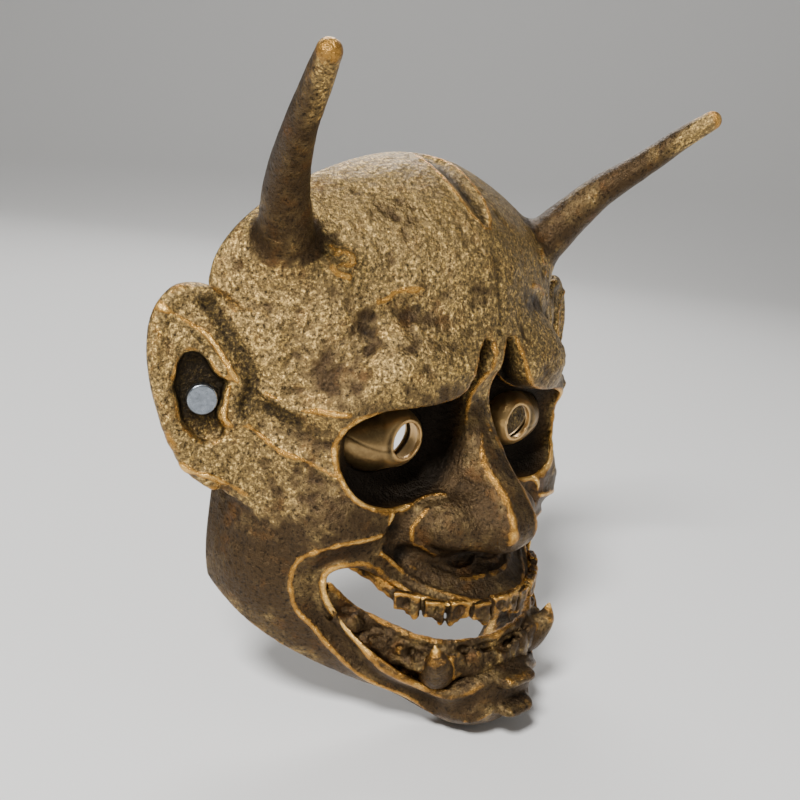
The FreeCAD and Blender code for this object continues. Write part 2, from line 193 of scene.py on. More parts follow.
def to_segment(a, b, x, y, z):
    """How far along a segment the nearest place is, from 0 to 1, and the squared gap to it."""
    d = b - a
    t = np.clip(((x - a[0]) * d[0] + (y - a[1]) * d[1] + (z - a[2]) * d[2]) / max(d @ d, 1e-9), 0, 1)
    return t, (x - a[0] - t * d[0])**2 + (y - a[1] - t * d[1])**2 + (z - a[2] - t * d[2])**2


def bar(points, radii):
    """A round bar along a chain of points."""
    points = np.array(points, float)
    radii = np.broadcast_to(np.array(radii, float), len(points))

    def distance(x, y, z):
        best = 1e9
        for a, b, r, s in zip(points, points[1:], radii, radii[1:]):
            t, gap = to_segment(a, b, x, y, z)
            best = np.minimum(best, np.sqrt(gap) - r - t * (s - r))
        return best

    return distance, points.min(axis=0) - radii.max(), points.max(axis=0) + radii.max()


def block(centre, along, half, corner):
    """An upright box with rounded edges, whose width runs along a level direction."""
    centre = np.array(centre, float)

    def distance(x, y, z):
        wide = (x - centre[0]) * along[0] + (y - centre[1]) * along[1]
        deep = (y - centre[1]) * along[0] - (x - centre[0]) * along[1]
        gaps = [np.abs(part) - size + corner for part, size in zip((wide, deep, z - centre[2]), half)]
        outside = np.sqrt(sum(np.maximum(gap, 0)**2 for gap in gaps))
        return outside + np.minimum(np.maximum(np.maximum(gaps[0], gaps[1]), gaps[2]), 0) - corner

    reach = float(np.linalg.norm(half))
    return distance, centre - reach, centre + reach


CORNERS = np.array(list(np.ndindex(2, 2, 2)))


def between_corners(table, cell, share):
    """Blends the values at the eight corners of each cell, in a table that repeats past its ends."""
    total = 0
    for corner in CORNERS:
        weight = np.prod(np.where(corner, share, 1 - share), axis=1)
        total = total + weight * table[tuple(((cell + corner) % table.shape).T)]
    return total


def run_along(line):
    return np.r_[0, np.cumsum(np.linalg.norm(np.diff(line, axis=0), axis=1))]


def hill(value, middle, width):
    """A smooth hill of height 1."""
    return np.exp(-((value - middle) / width)**2)


def ramp(value, middle, width):
    """A smooth step from 0 to 1."""
    return 1 / (1 + np.exp(-(value - middle) / width))


class Clay:
    """Distances on a regular grid over a box, negative inside the form."""

    def __init__(self, low, high, step):
        self.low = np.array(low, float)
        self.step = step
        counts = np.ceil((np.array(high, float) - self.low) / step).astype(int) + 1
        self.axes = [(start + step * np.arange(n)).astype(np.float32) for start, n in zip(self.low, counts)]
        self.value = np.full(counts, CLEAR_OF_ALL, np.float32)

    def part(self, low, high):
        """The grid's slices that cover a box, and their coordinates, rounded over the mirror plane."""
        places = []
        for i, count in enumerate(self.value.shape):
            first = int(np.clip(np.floor((low[i] - self.low[i]) / self.step), 0, count - 1))
            last = int(np.clip(np.ceil((high[i] - self.low[i]) / self.step) + 1, first + 1, count))
            places.append(slice(first, last))
        x = np.sqrt(self.axes[0][places[0]]**2 + 1.0)[:, None, None]
        y = self.axes[1][places[1]][None, :, None]
        z = self.axes[2][places[2]][None, None, :]
        return tuple(places), (x, y, z)

    def add(self, shape, blend=0.0, join=soft_min):
        """Melts a shape into the form. The blend is the width of the fillet between them."""
        distance, low, high = shape
        margin = blend + 3 * self.step + 2
        place, grid = self.part(low - margin, high + margin)
        self.value[place] = join(self.value[place], distance(*grid), blend)

    def cut(self, shape, blend=0.0):
        self.add(shape, blend, lambda here, there, blend: soft_max(here, -there, blend))

    def grid(self):
        return [axis.reshape(shape) for axis, shape in zip(self.axes, ((-1, 1, 1), (1, -1, 1), (1, 1, -1)))]

    def holding(self, value):
        """The same grid with other distances."""
        other = Clay.__new__(Clay)
        other.low, other.step, other.axes, other.value = self.low, self.step, self.axes, value
        return other

    def sample(self, points):
        p = (np.array(points, float) - self.low) / self.step
        p[:, 0] = (np.abs(np.array(points)[:, 0]) - self.low[0]) / self.step
        p = np.clip(p, 0, np.array(self.value.shape) - 1.001)
        cell = p.astype(int)
        return between_corners(self.value, cell, p - cell)

    def slope(self, points, reach=None):
        reach = reach or self.step
        columns = [self.sample(points + step) - self.sample(points - step) for step in np.eye(3) * reach]
        return np.stack(columns, axis=1) / (2 * reach)

    def snap(self, points, rounds=4):
        """Moves points to the nearest place on the surface."""
        points = np.array(points, float)
        for _ in range(rounds):
            slope = self.slope(points)
            steep = np.maximum((slope**2).sum(axis=1), 0.05)
            points = points - (0.9 * self.sample(points) / steep)[:, None] * slope
        return points

    def stroke(self, points, width, height, taper=True):
        """Raises the surface along a line, or presses it where the height is negative."""
        line = self.snap(smooth_line(points))
        run = run_along(line)
        strength = np.ones(len(line))
        if taper:
            ends = np.minimum(run, run[-1] - run) / min(0.3 * run[-1], 3 * width)
            strength = np.clip(ends, 0, 1)**0.7
        reach = 2.6 * width
        place, _ = self.part(line.min(axis=0) - reach, line.max(axis=0) + reach)
        shape = self.value[place].shape
        nearest = np.full(shape, 1e9, np.float32)
        amount = np.zeros(shape, np.float32)
        for a, b, s, e in zip(line, line[1:], strength, strength[1:]):
            local, grid = self.part(np.minimum(a, b) - reach, np.maximum(a, b) + reach)
            window = tuple(slice(n.start - m.start, n.stop - m.start) for n, m in zip(local, place))
            t, gap = to_segment(a, b, *grid)
            closer = gap < nearest[window]
            nearest[window] = np.where(closer, gap, nearest[window])
            amount[window] = np.where(closer, s + t * (e - s), amount[window])
        self.value[place] -= height * amount * np.exp(-nearest / width**2)

    def cut_outline(self, outline, front, back, corner, edge, draft=0.0):
        """Cuts a front-view outline down to a floor. With draft, it narrows towards the floor."""
        low, high = outline.min(axis=0) - 8, outline.max(axis=0) + 8
        place, (x, y, z) = self.part((low[0], front, low[1]), (high[0], back + 12, high[1]))
        across = outline_distance(x[:, 0, :], z[:, 0, :], outline)[:, None, :]
        hole = soft_max(across + draft * (y - back), y - back, corner)
        self.value[place] = soft_max(self.value[place], -hole, edge)

    def blurred(self, radius):
        """The grid averaged over a radius in mm, by two passes of a box filter."""
        size = max(1, int(round(radius / self.step)))
        out = self.value
        for _ in range(2):
            for axis in range(3):
                mode = "reflect" if axis == 0 else "edge"
                pad = [(0, 0)] * 3
                pad[axis] = (size + 1, size)
                total = np.cumsum(np.pad(out, pad, mode=mode), axis=axis, dtype=np.float64)
                length = out.shape[axis]
                upper = np.take(total, np.arange(2 * size + 1, 2 * size + 1 + length), axis=axis)
                lower = np.take(total, np.arange(length), axis=axis)
                out = ((upper - lower) / (2 * size + 1)).astype(np.float32)
        return out


def mirrored_outline(points):
    half = smooth_line(points, 4)
    return np.vstack([half, half[::-1] * [-1, 1]])


# ---- the mask's outlines, as (x, z) from the front

SOCKET = smooth_line([
    (6.5, 36), (10.5, 29), (15, 20), (22, 15.5), (33, 13.5), (44, 12.5), (52, 11), (57.5, 7.5), (59.5, 0),
    (58, -9), (53, -17), (43, -21), (32, -21.5), (23, -19), (16, -15), (11.5, -7), (9.5, 3), (7, 14),
    (4.5, 26),
], 5, closed=True)
SOCKET_RIM = [
    (6, 40), (7, 35), (11, 29), (15.5, 20.5), (22, 16.5), (33, 14.5), (44, 13.5), (52, 12), (58.5, 8.5),
    (60.5, 0), (59, -9.5), (54, -18), (43, -22.3), (32, -22.8), (23, -20.5), (17, -19),
]
MOUTH = mirrored_outline([
    (0, -57), (7, -57), (14, -56.5), (21, -56), (27.5, -55.5), (31.5, -54.5), (36.5, -51.5), (41, -48),
    (45, -45.5), (50, -43.5), (55, -43.5), (58, -46), (58, -51), (56, -56.5), (52, -64), (47.5, -70.7),
    (43, -75.4), (37.5, -80), (30, -84.5), (24, -85.5), (19.5, -83.5), (13, -80.8), (5.5, -79.3), (0, -79.3),
])
EAR = smooth_line([
    (-6, -22), (3, -23), (12, -19.2), (18.7, -16.5), (24.7, -10.3), (30.2, -1), (33.9, 9), (36.3, 17.2),
    (37.9, 28.7), (37.2, 38.6), (32.4, 46.6), (26.3, 49), (19.4, 48.6), (8, 42), (-6, 34),
], 5, closed=True)
HELIX = [
    (20, 46), (28, 46.5), (34.5, 40), (35.3, 29), (33.7, 18), (31, 8), (27, -2), (21.5, -10), (14, -15.5),
]
CONCHA = smooth_line([
    (28, 27), (29, 16), (26.5, 6), (22, -1.5), (15.5, -2), (11.5, 1.5), (13, 6.5), (13, 13.5), (12, 19),
    (17, 23.5), (21, 28), (25, 28.5),
], 3, closed=True)
EAR_CREASE = [(22, 45), (17, 41), (13, 35), (8.5, 28.5), (4, 21), (4.5, 14), (6, 9)]
TEMPLE_CREASE = [(83, -19, 12), (76, -24, 10), (70, -30, 7)]
HORN_LINE = [
    (63.5, -9, 56), (69.5, -15.8, 67), (76.8, -23, 79), (83, -31, 90), (91, -44, 102.5), (96.2, -55.2, 113.5),
    (101.2, -65.2, 122.4),
]
HORN_AXIS = np.array(HORN_LINE[3]) - HORN_FOOT
HORN_AXIS /= np.linalg.norm(HORN_AXIS)
HORN_RADII = (12.0, 9.6, 7.9, 6.6, 5.1, 4.5, 3.7)


# ---- modelling the mask


def head_form(clay):
    """A boxy arch in plan below the eyes, nearly a wedge at the forehead, and broad at the temples."""
    x, y, z = clay.grid()
    brow = 0.5 + 0.5 * np.tanh((z - BROW_HEIGHT) / 14)
    temple = hill(z, TEMPLE_HEIGHT, 21)
    width = HALF_WIDTH + 12.5 * temple + 2.8 * hill(z, JOWL_HEIGHT, 22)
    across = np.sqrt(x * x + 1) / width
    forward = np.abs(np.minimum(y, 0)) / (DEPTH - 3 * (1 - brow))
    upward = np.abs(z) / np.where(z >= 0, CROWN, CHIN)
    plan_power = 2.35 - 0.72 * brow - 0.29 * temple
    ahead = forward**2 / (across**2 + forward**2 + 1e-3)
    power = 3.1 - 0.6 * ahead * brow
    size = ((across**plan_power + forward**plan_power)**(power / plan_power) + upward**power)**(1 / power)
    value = (size - 1) * 60
    steep = np.sqrt(sum(slope**2 for slope in np.gradient(value, clay.step)))
    ahead = np.maximum(-y, 0)
    fall = 0.38 + 0.010 * ahead
    roof = z - CROWN - 1.5 + 0.1 * ahead + 0.010 * ahead**2 + fall * (np.sqrt(x * x + 18**2) - 18)
    clay.value[:] = soft_max(value / np.maximum(steep, 0.3), 0.85 * roof, 8)


def masses(clay):
    """The large forms: brow, cheeks, muzzle, chin and nose."""
    clay.add(ball((26, -41, 24), (26, 16, 14)), 12)
    clay.add(ball((52, -36, 12), (12, 9, 6)), 8)
    clay.add(ball((46, -35, -28), (20, 13, 12)), 14)
    clay.add(ball((0, -35, -72), (50, 43, 28), 2.3), 10)
    clay.add(ball((0, -60, -92), (24, 24, 14), 2.6), 8)
    clay.cut(ball((0, -67, 10), (15, 19, 17)), 8)
    clay.add(bar([(0, -40, 12), (0, -44, 0), (0, -53, -10), (0, -62, -21)], (7, 8, 9, 10.5)), 7)
    clay.add(ball((0, -62, -28.5), (15, 17.5, 12.5)), 5)
    clay.add(ball((15, -54, -30), (14, 14, 11)), 6)


def ear_grid(clay):
    """The ear's own coordinates over its part of the grid. Above the rivet it curls back towards the head."""
    place, (x, y, z) = clay.part((66, -34, -30), (112, 8, 56))
    across, behind = x - EAR_ROOT[0], y - EAR_ROOT[1]
    along = across * EAR_ALONG[0] + behind * EAR_ALONG[1] + 0 * z
    out = across * EAR_NORMAL[0] + behind * EAR_NORMAL[1] + curl_of(z)
    return place, along, out, z + 0 * along


def curl_of(up):
    return EAR_CURL * np.maximum(up - CURL_START, 0)**2


def on_curled_ear(along, up, out=0.0):
    return on_ear(along, up, out - curl_of(up))


def ear(clay):
    """The flared plate and its rolled helix. The hollow round the rivet is cut by ear_hollow."""
    place, along, out, up = ear_grid(clay)
    plate = soft_max(outline_distance(along, up, EAR), np.abs(out + 1) - 3.0, 3)
    clay.value[place] = soft_min(clay.value[place], plate, 5)
    rim = [on_curled_ear(u, v, 1.0) for u, v in smooth_line(HELIX, 4)]
    clay.add(bar(rim, 1.7), 4)


def ear_hollow(clay):
    """The concha, deepest round the rivet, and the rivet's hole."""
    place, along, out, up = ear_grid(clay)
    ragged = 0.5 * np.sin(0.42 * up + 0.35 * along) + 0.3 * np.sin(0.9 * along - 0.6 * up)
    hollow = soft_max(outline_distance(along, up, CONCHA) + ragged + 0.25 * (2 - out), -(out + 2.4), 1.5)
    clay.value[place] = soft_max(clay.value[place], -hollow, 1)
    clay.cut(bar([on_ear(19.5, 12, -7), on_ear(19.5, 12, 0)], 2.2))


def ear_relief(clay):
    """The crease between head and ear, the ridge beside it, and the folds of the lobe and the hollow."""
    def stroke(points, *shape):
        clay.stroke([on_curled_ear(u, v, 2.0) for u, v in points], *shape)

    stroke(EAR_CREASE, 3.0, -2.6)
    stroke([(36, 42), (33, 41), (28, 38.5), (20, 34), (14.5, 27.5), (9, 20), (4, 17)], 1.1, 1.7)
    stroke([(26, -9), (20, -12), (14.5, -14), (7.5, -17), (1, -20.5)], 1.1, 1.3)
    stroke([(33, 31), (33.5, 20), (31.5, 8), (26, -3)], 3, -0.7)
    stroke([(12, 22), (12.5, 13.5), (12, 7), (8, 3)], 1.1, 1.5)
    stroke([(26, 35), (19, 30), (14, 24)], 2.4, -0.8)
    stroke([(24, -5), (17, -8), (10, -9)], 2.2, 0.6)


def horn_bar():
    line = smooth_line(HORN_LINE, 4)
    radii = np.interp(np.linspace(0, 1, len(line)), np.linspace(0, 1, len(HORN_RADII)), HORN_RADII)
    return bar(line, radii)


def along_horn(x, y, z):
    """How far along the horn's axis a point is from the horn's foot, and how far from the axis."""
    offset = [w - foot for w, foot in zip((x, y, z), HORN_FOOT)]
    run = sum(w * a for w, a in zip(offset, HORN_AXIS))
    return run, np.sqrt(np.maximum(sum(w * w for w in offset) - run * run, 0))


def horn_share(x, y, z):
    """Below 0 in the part of space that is the horn's: beyond its seat, and near its bar."""
    return np.maximum(horn_bar()[0](x, y, z) - 4, HORN_SEAT - along_horn(x, y, z)[0])


def close_seam(clay, points, normals):
    """Brings the vertices beside the horn's seat onto the uncut surface, at the seat, with its normals."""
    x, y, z = points.T
    share = horn_share(np.abs(x), y, z)
    beside = np.nonzero((np.abs(share) < 0.8 * clay.step) & (clay.sample(points) > -0.8 * clay.step))[0]
    moved = points[beside]
    for _ in range(4):
        slope = clay.slope(moved)
        moved -= (clay.sample(moved) / (slope**2).sum(axis=1))[:, None] * slope
        share = horn_share(np.abs(moved[:, 0]), moved[:, 1], moved[:, 2])
        axis = np.column_stack([np.sign(moved[:, 0]) * HORN_AXIS[0], np.full((len(moved), 2), HORN_AXIS[1:])])
        moved += np.clip(share, -0.5, 0.5)[:, None] * axis
    points[beside] = moved
    slope = clay.slope(moved)
    normals[beside] = slope / np.linalg.norm(slope, axis=1, keepdims=True)
    return beside


def forehead_relief(clay):
    """The crown's parting, the crease below it, the frown and the knot at the horn's foot."""
    clay.stroke([(0, -1, 95), (0, -13, 92), (0, -24, 88), (0, -35, 81), (0, -42, 74)], 3.8, -2.8)
    clay.stroke([(3, -2, 96), (6.5, -13, 93), (7, -25, 88), (5.5, -36, 80), (1, -43, 73)], 1.0, 1.4)
    clay.stroke([(0, -46, 70), (0, -51, 58), (0, -55, 46), (0, -57, 34)], 2.2, -1.2)
    clay.stroke([(50, -38, 47), (51, -40, 38), (53, -42, 29), (54, -44, 20)], 5, -2.2)
    clay.stroke([(50, -38, 49), (45, -41, 50), (40, -42, 53), (34, -45, 54), (28, -47, 54)], 1.7, 1.1)
    clay.stroke([(48, -40, 44), (41, -43, 46), (33, -46, 48), (26, -48, 46)], 4, -1.2)
    clay.stroke([(22, -50, 58), (15, -50, 62), (8, -50, 60)], 4, 0.8)
    clay.stroke([(44, -40, 66), (36, -41, 70), (26, -42, 74)], 5, 0.9)
    clay.stroke([(57.5, -30, 67), (54.5, -32.5, 65.5), (54, -33, 62), (57, -31, 60.5)], 1.7, 2.6, taper=False)
    clay.stroke([(57, -31, 64.5), (59.5, -29.5, 62), (58.5, -31, 58), (55, -33, 57)], 1.6, 2.0, taper=False)
    clay.stroke([(53, -34, 60), (51, -36, 56)], 1.6, 1.4)


def temple_relief(clay):
    """Two ridges from the ear to the socket, the hollow between them, and the fold in front of the ear."""
    upper = [(82, -20, 18), (77, -23, 15), (71, -29, 11), (66, -36, 12), (61, -42, 12), (58, -45, 12)]
    lower = [(86, -17, 7), (80, -21, 3), (74, -27, -3), (69, -33, -5), (63, -38, -8), (59, -42, -11)]
    for ridge in (upper, lower):
        clay.stroke(ridge, 1.05, 1.5)
    clay.stroke([(80, -20, 11), (73, -27, 5), (67, -34, 3), (62, -40, 2)], 4.5, -1.6)
    clay.stroke([(84, -18, 13), (79, -21, 11), (74, -25, 9)], 3, -2)


def cheek_relief(clay):
    """The fold from the nose wing round the mouth to the chin, and the channel inside it."""
    clay.stroke([(20, -57, -17), (27, -54, -18.5), (34, -52, -20), (40, -51, -24), (43, -51, -31)], 1.2, 1.2)
    clay.stroke([
        (42, -51, -30), (50, -48, -31), (58, -44, -32), (64, -38, -36), (67, -34, -42), (67, -32, -50),
        (64, -33, -60), (59, -36, -66), (53, -41, -75), (46, -48, -84), (39, -54, -90), (31, -60, -95.5),
        (22, -68, -100),
    ], 1.3, 1.3)
    clay.stroke([
        (44, -51, -34), (52, -47, -36), (59, -43, -39), (62, -39, -46), (61, -38, -56), (56, -41, -66),
        (49, -47, -76), (42, -54, -84), (32, -62, -91), (20, -72, -95),
    ], 3.4, -1.5)
    clay.stroke([(54, -40, -24), (44, -46, -29), (33, -50, -29)], 3.5, -0.8)


def lip_relief(clay):
    """The hollow under the nose with its wrinkles, the edge of each lip, and the pointed lip and chin."""
    clay.cut(bar([
        (41, -52, -36.5), (33.5, -53, -40), (25, -61, -43.3),
        (17, -70, -46.3), (7, -77, -48.3), (0, -78.5, -48.6),
    ], (2.4, 4.4, 5.4, 6.0, 6.4, 6.4)), 1.0)
    wrinkle = np.array([(31, -51, -45), (22, -57, -48), (12, -64, -50), (0, -66, -50)])
    for lift, width in ((0, 0.9), (2.4, 0.8), (4.6, 0.7)):
        clay.stroke(wrinkle + [0, 0, lift], width, 0.8)
    clay.stroke([
        (43, -50, -38), (38, -51, -41.5), (33, -54, -46.5), (25, -62, -51),
        (17, -69, -53.5), (8, -74, -55), (0, -75.5, -55.3),
    ], 1.0, 0.9, taper=False)
    clay.stroke([
        (61, -41, -50), (60.5, -41, -46), (57, -44, -42), (50, -48, -41), (44, -50, -43.5), (38, -53, -48),
        (32, -60, -52.5), (24, -68, -54.5), (12, -73, -55.5), (0, -75, -56),
    ], 1.2, 1.1, taper=False)
    clay.stroke([
        (61, -41, -50), (58.5, -42, -57), (54, -46, -65.5), (49.5, -52, -72.5), (44.5, -58, -78),
        (38.5, -64, -82.5), (30.5, -69, -87.3), (24, -74, -88.3), (18.5, -78, -86), (12, -81, -83),
        (5, -82, -81.5), (0, -82, -81.5),
    ], 1.2, 1.3, taper=False)
    clay.add(ball((0, -79.5, -83), (9, 9.5, 2.4), 4), 1.2)
    clay.add(ball((0, -79.5, -93.4), (8.5, 10.8, 2.6), 4), 1.2)
    clay.cut(ball((0, -89.5, -88.2), (11, 4.6, 3.4)), 2.5)
    clay.stroke([(9.5, -84, -91), (12, -81, -95.5), (17, -75, -98)], 1.1, 1.0)
    clay.stroke([(14, -80, -86), (16, -77, -91), (20, -72, -96)], 2.6, -0.9)


def nose_relief(clay):
    """The deep crease behind the wing, the wing's curl, the nose's ridge and the plane beside it."""
    clay.stroke([(27, -53, -19), (34, -51, -23), (38, -50.5, -29), (38, -51, -35)], 4, -2.5)
    clay.cut(bar([
        (33, -54, -21.5), (36.5, -53, -25), (37.6, -53, -30), (37, -54, -35), (36, -55.5, -40),
    ], (1.6, 3.2, 4.2, 4.4, 4)), 1.5)
    wing = [(19, -58, -20), (26, -56, -20.5), (31, -55, -25), (32, -54, -32), (29, -56, -39), (22, -60, -43)]
    clay.stroke(wing, 1.2, 1.1)
    ridge = [(1.5, -47, 10), (2, -52, -4), (3, -60, -12), (4.5, -71, -20), (6, -78, -29), (7, -78, -36)]
    clay.stroke(ridge, 2.3, 1.5)
    clay.stroke([(11, -48, 0), (15, -54, -10), (18, -60, -20)], 5, -0.9)
    clay.stroke([(25, -56, -35), (20, -62, -40), (13, -68, -44)], 3, -1.2)


def socket_rim(clay):
    """A raised line along the socket's edge, found by looking back from in front of the face."""
    line = []
    for x, z in SOCKET_RIM:
        depths = np.arange(-95, -25, 0.5)
        column = np.column_stack([np.full_like(depths, x), depths, np.full_like(depths, z)])
        solid = np.nonzero(clay.sample(column) < 0)[0]
        line.append((x, depths[solid[0]] if len(solid) else SOCKET_FLOOR, z))
    clay.stroke(line, 1.2, 1.2)


def hollow_out(clay, inner):
    """Empties the back of the mask where inner is negative, but for the eye floors and the horn bosses."""
    x, y, z = clay.grid()
    behind_eyes = outline_distance(x[:, 0, :], z[:, 0, :], SOCKET)[:, None, :] - 4
    floor = soft_max(behind_eyes, y - SOCKET_BACK, 3)
    inner = soft_max(inner, -floor, 3)
    run, off = along_horn(x, y, z)
    inner = soft_max(inner, -np.maximum(off - BOSS_RADIUS, BOSS_END - run), 2)
    clay.value[:] = soft_max(clay.value, -inner, 1)


def jaw_cut(clay):
    _, y, z = clay.grid()
    below = (JAW_HEIGHT + JAW_SLOPE * y - z) / math.hypot(1, JAW_SLOPE)
    clay.value[:] = soft_max(clay.value, below, 2)


def eye_hole(clay):
    """The opening in the socket's floor that the brass eye comes through."""
    clay.cut(ball(EYE_CENTRE, EYE_HOLE_RADII), 0.5)


def model_mask(step):
    """The whole casting, the same form before it is hollowed, and the form before any opening is cut."""
    clay = Clay((0, -126, -120), (112, 8, 130), step)
    head_form(clay)
    masses(clay)
    plain = clay.value.copy()
    ear(clay)
    clay.add(horn_bar(), 7)
    for relief in (forehead_relief, temple_relief, ear_relief, cheek_relief, lip_relief, nose_relief):
        relief(clay)
    closed = clay.value.copy()
    ear_hollow(clay)
    clay.cut_outline(SOCKET, -95, SOCKET_FLOOR, 9, 1.2, 0.1)
    socket_rim(clay)
    clay.cut_outline(MOUTH, -110, -20, 2, 1)
    jaw_cut(clay)
    solid = clay.value.copy()
    hollow_out(clay, np.maximum(plain + WALL, closed + LEAST_WALL))
    eye_hole(clay)
    clay.value[:] = soft_max(clay.value, clay.grid()[1] - RIM_Y, 1.2)
    return clay, solid, closed


# ---- from clay to mesh

CELL_EDGES = [(a, b) for a in range(8) for b in range(a + 1, 8) if np.abs(CORNERS[a] - CORNERS[b]).sum() == 1]


def surface_net(value):
    """Vertices and quads of the zero surface, one vertex to each grid cell that the surface crosses."""
    inside = value < 0
    count = np.zeros(np.array(value.shape) - 1, np.uint8)
    for corner in CORNERS:
        window = tuple(slice(c, c + n) for c, n in zip(corner, count.shape))
        count += inside[window]
    cells = np.argwhere((count > 0) & (count < 8))
    number = np.full(count.shape, -1, np.int32)
    number[tuple(cells.T)] = np.arange(len(cells))
    heights = np.stack([value[tuple((cells + corner).T)] for corner in CORNERS], axis=1)
    total = np.zeros((len(cells), 3))
    crossings = np.zeros(len(cells))
    for a, b in CELL_EDGES:
        crossed = (heights[:, a] < 0) != (heights[:, b] < 0)
        share = np.where(crossed, heights[:, a] / np.where(crossed, heights[:, a] - heights[:, b], 1), 0)
        place = CORNERS[a] + share[:, None] * (CORNERS[b] - CORNERS[a])
        total += np.where(crossed[:, None], place, 0)
        crossings += crossed
    vertices = cells + total / crossings[:, None]
    quads = []
    for axis in range(3):
        step_u, step_v = np.eye(3, dtype=int)[[(axis + 1) % 3, (axis + 2) % 3]]
        lower = tuple(slice(None, -1) if i == axis else slice(1, -1) for i in range(3))
        upper = tuple(slice(1, None) if i == axis else slice(1, -1) for i in range(3))
        for start, end, order in ((inside[lower], ~inside[upper], 1), (~inside[lower], inside[upper], -1)):
            edges = np.argwhere(start & end)
            ring = [edges, edges + step_u, edges + step_u + step_v, edges + step_v]
            quads.append(np.stack([number[tuple(corner.T)] for corner in ring], axis=1)[:, ::order])
    return vertices, np.vstack(quads)


def mesh_from(clay, value, sides="both"):
    """The surface in mm, on both sides of the mirror plane or the left only, drawn onto the zero level."""
    if sides == "both":
        whole = np.concatenate([value[:0:-1], value], axis=0)
        shift = value.shape[0] - 1
    else:
        whole, shift = value, 0
    vertices, quads = surface_net(whole)
    points = (vertices - [shift, 0, 0]) * clay.step + clay.low
    surface = clay.holding(value)
    for _ in range(2):
        slope = surface.slope(points, clay.step / 2)
        steep = np.maximum((slope**2).sum(axis=1), 0.25)
        move = (surface.sample(points) / steep)[:, None] * slope
        points = points - np.clip(move, -clay.step / 2, clay.step / 2)
    normals = surface.slope(points)
    normals /= np.maximum(np.linalg.norm(normals, axis=1, keepdims=True), 1e-6)
    return points, quads, normals


def lattice_noise(points, scale, seed):
    """Smooth noise between -1 and 1, from random values on a lattice of the given spacing in mm."""
    random = np.random.default_rng(seed)
    table = random.uniform(-1, 1, [NOISE_TABLE] * 3)
    place = points / scale + 1000
    cell = np.floor(place).astype(int)
    share = place - cell
    return between_corners(table, cell, share * share * (3 - 2 * share))


def add_mesh(name, points, faces, attributes=None, set_normals=None):
    """A smooth-shaded mesh object from points in mm, with a float attribute for each entry."""
    mesh = bpy.data.meshes.new(name)
    mesh.from_pydata((points * MM).tolist(), [], [list(face) for face in faces])
    mesh.polygons.foreach_set("use_smooth", [True] * len(mesh.polygons))
    for key, values in (attributes or {}).items():
        mesh.attributes.new(key, "FLOAT", "POINT").data.foreach_set("value", np.asarray(values, np.float32))
    mesh.update()
    if set_normals:
        normals = np.empty(3 * len(points), np.float32)
        mesh.vertex_normals.foreach_get("vector", normals)
        normals = normals.reshape(-1, 3)
        normals[set_normals[0]] = set_normals[1]
        mesh.normals_split_custom_set_from_vertices(normals.tolist())
    piece = bpy.data.objects.new(name, mesh)
    bpy.context.collection.objects.link(piece)
    return piece


# ---- the pieces


def add_look(name, *shape):
    """A piece in place of the CAD node of the same name."""
    piece = add_mesh(f"{name}_look", *shape)
    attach(piece, BODY)
    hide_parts(name)
    return piece


def add_pair(name, points, faces, attributes, set_normals=None):
    """A left piece and its mirror."""
    left = add_look(f"{name}_left", points, faces, attributes, set_normals)
    if set_normals:
        set_normals = (set_normals[0], set_normals[1] * [-1, 1, 1])
    right = add_look(f"{name}_right", points * [-1, 1, 1], faces[:, ::-1], attributes, set_normals)
    return [left, right]


def wear_of(clay, points):
    """How far the surface stands out of its blurred form, in mm: fine edges, and broad ones."""
    level = clay.sample(points)
    return [clay.holding(clay.blurred(radius)).sample(points) - level for radius in WEAR_RADII]


def cast_texture(points, normals, rough):
    """Moves points along their normals by the uneven skin of a sand casting."""
    swell = lattice_noise(points, 7.0, 11)
    lumps = lattice_noise(points, 2.9, 12)
    grit = lattice_noise(points, 1.5, 14)
    pits = np.minimum(lattice_noise(points, 3.6, 13) + 0.15, 0)
    height = 0.30 * swell + 0.34 * lumps + 0.16 * grit + 0.6 * pits
    return points + (rough * height)[:, None] * normals, rough * height


def roughness_of(points):
    """1 where the casting is left rough: the forehead, temples, cheeks and ears. 0.25 on the smooth parts."""
    x, y, z = np.abs(points[:, 0]), points[:, 1], points[:, 2]
    forehead = np.clip((z - 14) / 12, 0, 1)
    side = np.clip((x - 52) / 10, 0, 1) * np.clip((z + 52) / 14, 0, 1)
    _, off = along_horn(x, y, z)
    horn = np.clip((off - 11) / 6, 0.35, 1)
    crown = 1 - 0.5 * np.clip((z - 74) / 12, 0, 1)
    return np.clip(np.maximum(forehead, side), 0.25, 1) * horn * crown


def ear_shade(points):
    """Painted shade in the ear's hollow and in the crease beside the ear: how deep a point lies there, from 0
    to 8.
    """
    offset = np.column_stack([np.abs(points[:, 0]), points[:, 1:]]) - EAR_ROOT
    along, out, up = offset @ EAR_ALONG, offset @ EAR_NORMAL, offset[:, 2]
    across = outline_distance(along, up, CONCHA)
    inside = (across < 1.2) & (out > -3.2)
    hollow = np.clip((1.2 - out) * 3, 0, 8) * inside * np.clip(0.35 + (up + 3) / 16, 0.35, 1)
    line = np.vstack([smooth_line([on_curled_ear(u, v, 1.5) for u, v in EAR_CREASE]), TEMPLE_CREASE])
    gap = bar(line, 0.0)[0](np.abs(points[:, 0]), points[:, 1], points[:, 2])
    return np.maximum(hollow, np.clip((4.6 - gap) * 2.2, 0, 6) * (points[:, 1] < -2))


def lit_side_and_calm_crown(points):
    """Painted light: from 0 on the jaw, nose and horns to 1 on the forehead, temples and ears, which face the
    key light, and 2 on the smooth crown.
    """
    x, y, z = np.abs(points[:, 0]), points[:, 1], points[:, 2]
    run, off = along_horn(x, y, z)
    crown = ramp(z, 20, 6)
    side = ramp(x, 60, 4) * ramp(z, -22, 7)
    horn = np.clip((off - 10) / 6, 0, 1)
    smooth = np.clip((z - 50) / 34, 0, 1)
    return (np.maximum(crown, side) + smooth) * np.where(run > -4, horn, 1)


